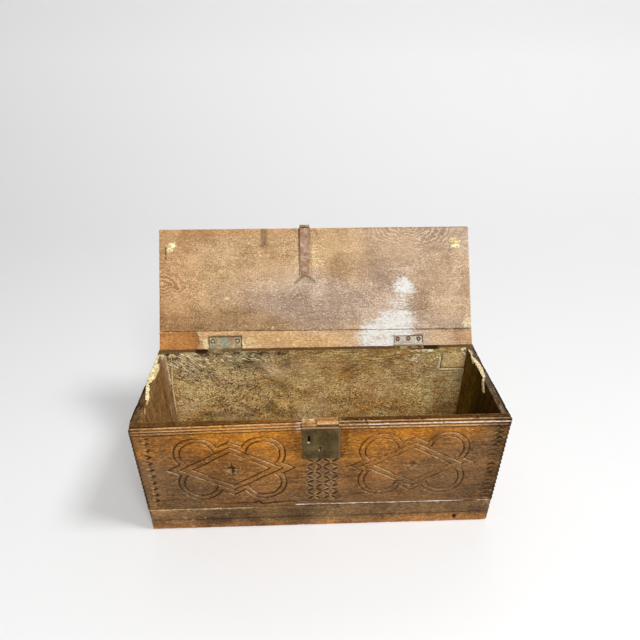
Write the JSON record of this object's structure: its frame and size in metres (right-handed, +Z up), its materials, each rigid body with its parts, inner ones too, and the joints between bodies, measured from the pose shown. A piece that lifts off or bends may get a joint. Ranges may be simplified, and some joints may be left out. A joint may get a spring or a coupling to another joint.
{
  "type": "wooden trunk",
  "caption": "Open boarded oak trunk with a carved front on a base rail, a hinged lid of two boards, and a hasp that swings down to a sliding-bolt plate lock.",
  "frame": {"origin": "on the floor, at the middle of the bottom board's underside", "axes": "+X to the trunk's right end along its length, +Y to the hinged back, +Z up"},
  "size_m": [0.69, 0.4527, 0.4916],
  "materials": {
    "carved_oak": "waxed, worn carved oak",
    "dark_oak": "dark stained oak",
    "plain_oak": "dry aged oak",
    "lid_oak": "dry unpolished oak",
    "patch_oak": "smoother repair oak",
    "peg_oak": "cut end grain",
    "wrought_iron": "rusted forged iron",
    "plate_iron": "dark waxed iron",
    "aged_brass": "verdigris brass",
    "pale_iron": "whitened iron"
  },
  "bodies": {
    "box": {"back_board": "plain_oak", "back_patch": "patch_oak", "back_peg_left_1": "peg_oak", "back_peg_left_2": "peg_oak", "back_peg_right_1": "peg_oak", "back_peg_right_2": "peg_oak", "bolt_guide_left": "wrought_iron", "bolt_guide_right": "wrought_iron", "bolt_spring": "wrought_iron", "bottom_board": "plain_oak", "drill_pin": "wrought_iron", "front_board": "carved_oak", "front_edge_patch": "patch_oak", "front_peg_left_1": "peg_oak", "front_peg_left_2": "peg_oak", "front_peg_left_3": "peg_oak", "front_peg_right_1": "peg_oak", "front_peg_right_2": "peg_oak", "front_peg_right_3": "peg_oak", "left_hinge_box_leaf": "aged_brass", "left_hinge_box_screw_1": "wrought_iron", "left_hinge_box_screw_2": "wrought_iron", "left_hinge_pin": "aged_brass", "left_side_board": "plain_oak", "lock_back_plate": "wrought_iron", "lock_plate": "plate_iron", "lock_plate_nail_1": "wrought_iron", "lock_plate_nail_2": "wrought_iron", "lock_plate_nail_3": "wrought_iron", "lock_plate_nail_4": "wrought_iron", "plinth_peg_left_end": "peg_oak", "plinth_peg_left_middle": "peg_oak", "plinth_peg_right_end": "peg_oak", "plinth_peg_right_middle": "peg_oak", "plinth_rail": "dark_oak", "right_hinge_box_leaf": "pale_iron", "right_hinge_box_screw_1": "wrought_iron", "right_hinge_box_screw_2": "wrought_iron", "right_hinge_box_screw_3": "wrought_iron", "right_hinge_pin": "pale_iron", "right_side_board": "plain_oak"},
    "lid": {"hasp_pin": "wrought_iron", "hasp_strap": "wrought_iron", "hasp_strap_nail_1": "wrought_iron", "hasp_strap_nail_2": "wrought_iron", "hasp_strap_nail_3": "wrought_iron", "left_hinge_lid_leaf": "aged_brass", "left_hinge_lid_screw_1": "wrought_iron", "left_hinge_lid_screw_2": "wrought_iron", "lid_board": "lid_oak", "lid_hinge_strip": "lid_oak", "right_hinge_lid_leaf": "pale_iron", "right_hinge_lid_screw_1": "wrought_iron", "right_hinge_lid_screw_2": "wrought_iron", "right_hinge_lid_screw_3": "wrought_iron"},
    "hasp": {"hasp": "wrought_iron", "hasp_staple": "wrought_iron"},
    "bolt": {"lock_bolt": "wrought_iron"}
  },
  "joints": [
    {"name": "lid_hinge", "type": "hinge", "parent": "box", "child": "lid", "pos_m": [0, 0.1318, 0.27115], "axis": [1, 0, 0], "range_deg": [0, 125.5]},
    {"name": "hasp_hinge", "type": "hinge", "parent": "lid", "child": "hasp", "pos_m": [-0.0235, 0.28781, 0.48832], "axis": [1, 0, 0], "range_deg": [0, 205.07]},
    {"name": "bolt_slide", "type": "slide", "parent": "box", "child": "bolt", "axis": [-1, 0, 0], "range_m": [0, 0.009]}
  ]
}
